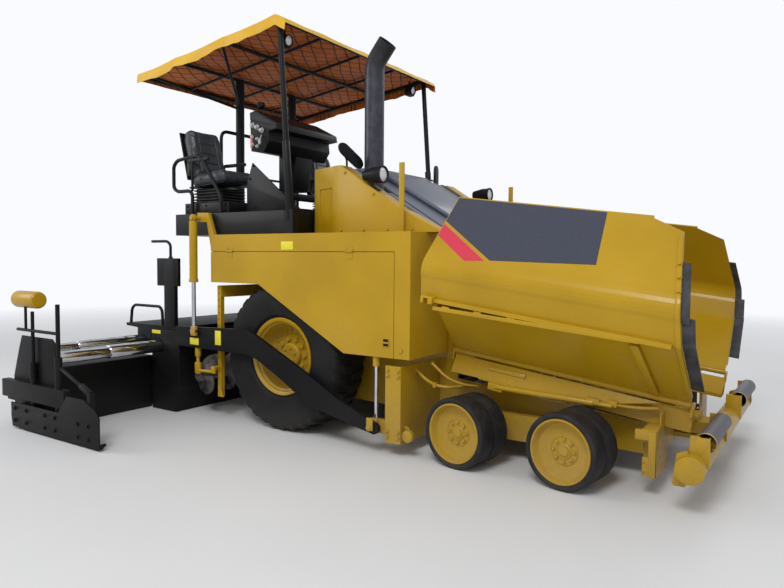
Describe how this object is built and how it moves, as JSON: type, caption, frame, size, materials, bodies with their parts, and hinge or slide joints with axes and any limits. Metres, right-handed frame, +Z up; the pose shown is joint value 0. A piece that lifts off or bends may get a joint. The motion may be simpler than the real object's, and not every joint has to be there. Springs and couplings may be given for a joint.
{
  "type": "wheeled asphalt paver",
  "caption": "Wheeled asphalt paver with folding hopper wings, twin bogies, roofed operator deck, augers and a screed with sliding extensions.",
  "frame": {"origin": "on the ground under the middle of the machine, between the rear steps and the push rollers", "axes": "+X forward to the hopper, +Y to the left, +Z up"},
  "size_m": [5.85, 4.972, 3.67],
  "materials": {
    "yellow_paint": "gloss",
    "black_paint": "satin",
    "grey_paint": "satin",
    "engine_iron": "rough",
    "chrome_steel": "polished",
    "worn_steel": "worn",
    "tyre_rubber": "matte",
    "flap_rubber": "matte",
    "canopy_fabric": "matte",
    "seat_vinyl": "satin",
    "exhaust_paint": "matte"
  },
  "bodies": {
    "machine": {"chassis": "yellow_paint", "engine": "engine_iron", "side_box_right": "yellow_paint", "side_box_left": "yellow_paint", "hood": "yellow_paint", "exhaust": "exhaust_paint", "operator_deck": "black_paint", "seat_right": "seat_vinyl", "seat_left": "seat_vinyl", "canopy_frame": "black_paint", "canopy_top": "canopy_fabric", "hopper_floor": "yellow_paint", "conveyors": "worn_steel", "rear_axle": "yellow_paint", "bogie_right": "yellow_paint", "bogie_left": "yellow_paint"},
    "side_door_right": {"side_door_right": "yellow_paint"},
    "wing_right": {"wing_right": "yellow_paint", "flap_right": "flap_rubber"},
    "auger_right": {"auger_right": "worn_steel"},
    "rear_wheel_right": {"rear_tyre_right": "tyre_rubber", "rear_rim_right": "yellow_paint"},
    "knuckle_right_rear": {"knuckle_right_rear": "yellow_paint"},
    "front_wheel_right_rear": {"front_wheel_right_rear": "tyre_rubber"},
    "knuckle_right_front": {"knuckle_right_front": "yellow_paint"},
    "front_wheel_right_front": {"front_wheel_right_front": "tyre_rubber"},
    "side_door_left": {"side_door_left": "yellow_paint"},
    "wing_left": {"wing_left": "yellow_paint", "flap_left": "flap_rubber"},
    "auger_left": {"auger_left": "worn_steel"},
    "rear_wheel_left": {"rear_tyre_left": "tyre_rubber", "rear_rim_left": "yellow_paint"},
    "knuckle_left_rear": {"knuckle_left_rear": "yellow_paint"},
    "front_wheel_left_rear": {"front_wheel_left_rear": "tyre_rubber"},
    "knuckle_left_front": {"knuckle_left_front": "yellow_paint"},
    "front_wheel_left_front": {"front_wheel_left_front": "tyre_rubber"},
    "push_beam": {"push_beam": "yellow_paint"},
    "push_roller_right": {"push_roller_right": "grey_paint"},
    "push_roller_left": {"push_roller_left": "grey_paint"},
    "hood_lid": {"hood_lid": "grey_paint"},
    "console": {"console": "black_paint"},
    "tow_points": {"tow_block_right": "yellow_paint", "tow_block_left": "yellow_paint"},
    "screed": {"tow_arms": "black_paint", "screed_main": "black_paint"},
    "extension_right": {"extension_right": "black_paint", "guide_tubes_right": "chrome_steel"},
    "lift_barrel_right": {"lift_barrel_right": "yellow_paint"},
    "lift_rod_right": {"lift_rod_right": "chrome_steel"},
    "extension_left": {"extension_left": "black_paint", "guide_tubes_left": "chrome_steel"},
    "lift_barrel_left": {"lift_barrel_left": "yellow_paint"},
    "lift_rod_left": {"lift_rod_left": "chrome_steel"}
  },
  "joints": [
    {"name": "side_door_right_open", "type": "hinge", "parent": "machine", "child": "side_door_right", "pos_m": [-0.425, -1.2423, 1.616], "axis": [-1, 0, 0], "range_deg": [0, 80]},
    {"name": "wing_right_lower", "type": "hinge", "parent": "machine", "child": "wing_right", "pos_m": [0.935, -0.79, 0.836], "axis": [0.9919, 0, -0.1271], "range_deg": [0, 45]},
    {"name": "auger_right_spin", "type": "hinge", "parent": "machine", "child": "auger_right", "pos_m": [-1.65, -0.6, 0.4], "axis": [0, 1, 0], "continuous": true},
    {"name": "rear_wheel_right_spin", "type": "hinge", "parent": "machine", "child": "rear_wheel_right", "pos_m": [-0.625, -0.967, 0.675], "axis": [0, 1, 0], "continuous": true},
    {"name": "steer_right_rear", "type": "hinge", "parent": "machine", "child": "knuckle_right_rear", "pos_m": [1.233, -0.79, 0.266], "axis": [0, 0, 1], "range_deg": [-11, 29]},
    {"name": "front_wheel_right_rear_spin", "type": "hinge", "parent": "knuckle_right_rear", "child": "front_wheel_right_rear", "pos_m": [1.1892, -1.06655, 0.266], "axis": [0.1564, 0.9877, 0], "continuous": true},
    {"name": "steer_right_front", "type": "hinge", "parent": "machine", "child": "knuckle_right_front", "pos_m": [2.048, -0.79, 0.266], "axis": [0, 0, 1], "range_deg": [-11, 29]},
    {"name": "front_wheel_right_front_spin", "type": "hinge", "parent": "knuckle_right_front", "child": "front_wheel_right_front", "pos_m": [2.0042, -1.06655, 0.266], "axis": [0.1564, 0.9877, 0], "continuous": true},
    {"name": "side_door_left_open", "type": "hinge", "parent": "machine", "child": "side_door_left", "pos_m": [-0.425, 1.2423, 1.616], "axis": [1, 0, 0], "range_deg": [0, 80]},
    {"name": "wing_left_lower", "type": "hinge", "parent": "machine", "child": "wing_left", "pos_m": [0.935, 0.79, 0.836], "axis": [-0.9919, 0, 0.1271], "range_deg": [0, 45]},
    {"name": "auger_left_spin", "type": "hinge", "parent": "machine", "child": "auger_left", "pos_m": [-1.65, 0.6, 0.4], "axis": [0, 1, 0], "continuous": true},
    {"name": "rear_wheel_left_spin", "type": "hinge", "parent": "machine", "child": "rear_wheel_left", "pos_m": [-0.625, 0.967, 0.675], "axis": [0, 1, 0], "continuous": true},
    {"name": "steer_left_rear", "type": "hinge", "parent": "machine", "child": "knuckle_left_rear", "pos_m": [1.233, 0.79, 0.266], "axis": [0, 0, 1], "range_deg": [-11, 29]},
    {"name": "front_wheel_left_rear_spin", "type": "hinge", "parent": "knuckle_left_rear", "child": "front_wheel_left_rear", "pos_m": [1.2768, 1.06655, 0.266], "axis": [0.1564, 0.9877, 0], "continuous": true},
    {"name": "steer_left_front", "type": "hinge", "parent": "machine", "child": "knuckle_left_front", "pos_m": [2.048, 0.79, 0.266], "axis": [0, 0, 1], "range_deg": [-11, 29]},
    {"name": "front_wheel_left_front_spin", "type": "hinge", "parent": "knuckle_left_front", "child": "front_wheel_left_front", "pos_m": [2.0918, 1.06655, 0.266], "axis": [0.1564, 0.9877, 0], "continuous": true},
    {"name": "push_beam_yaw", "type": "hinge", "parent": "machine", "child": "push_beam", "pos_m": [2.605, 0, 0.306], "axis": [0, 0, 1], "range_deg": [-4, 4]},
    {"name": "push_roller_right_spin", "type": "hinge", "parent": "push_beam", "child": "push_roller_right", "pos_m": [2.865, -0.777, 0.452], "axis": [0, 1, 0], "continuous": true},
    {"name": "push_roller_left_spin", "type": "hinge", "parent": "push_beam", "child": "push_roller_left", "pos_m": [2.865, 0.777, 0.452], "axis": [0, 1, 0], "continuous": true},
    {"name": "hood_open", "type": "hinge", "parent": "machine", "child": "hood_lid", "pos_m": [-0.458, 0, 2.355], "axis": [0, -1, 0], "range_deg": [0, 50]},
    {"name": "console_slide", "type": "slide", "parent": "machine", "child": "console", "axis": [0, 1, 0], "range_m": [0, 1.12]},
    {"name": "tow_point_raise", "type": "slide", "parent": "machine", "child": "tow_points", "axis": [0, 0, -1], "range_m": [-0.3, 0]},
    {"name": "screed_lift", "type": "hinge", "parent": "tow_points", "child": "screed", "pos_m": [0.445, 0, 0.215], "axis": [0, 1, 0], "range_deg": [0, 10]},
    {"name": "extension_right_retract", "type": "slide", "parent": "screed", "child": "extension_right", "axis": [0, 1, 0], "range_m": [0, 1.15]},
    {"name": "lift_barrel_right_swing", "type": "hinge", "parent": "machine", "child": "lift_barrel_right", "pos_m": [-1.61, -1.305, 1.93], "axis": [0, -1, 0], "range_deg": [0, 11]},
    {"name": "lift_rod_right_slide", "type": "slide", "parent": "lift_barrel_right", "child": "lift_rod_right", "axis": [0, 0, 1], "range_m": [0, 0.334]},
    {"name": "extension_left_retract", "type": "slide", "parent": "screed", "child": "extension_left", "axis": [0, -1, 0], "range_m": [0, 1.15]},
    {"name": "lift_barrel_left_swing", "type": "hinge", "parent": "machine", "child": "lift_barrel_left", "pos_m": [-1.61, 1.305, 1.93], "axis": [0, -1, 0], "range_deg": [0, 11]},
    {"name": "lift_rod_left_slide", "type": "slide", "parent": "lift_barrel_left", "child": "lift_rod_left", "axis": [0, 0, 1], "range_m": [0, 0.334]}
  ],
  "couplings": [
    {"joint": "steer_right_rear", "follows": "steer_right_front", "ratio": 1},
    {"joint": "steer_left_rear", "follows": "steer_right_front", "ratio": 1},
    {"joint": "steer_left_front", "follows": "steer_right_front", "ratio": 1},
    {"joint": "lift_barrel_right_swing", "follows": "screed_lift", "ratio": 1.09},
    {"joint": "lift_rod_right_slide", "follows": "screed_lift", "m_per_rad": 1.911},
    {"joint": "lift_barrel_left_swing", "follows": "screed_lift", "ratio": 1.09},
    {"joint": "lift_rod_left_slide", "follows": "screed_lift", "m_per_rad": 1.911}
  ]
}
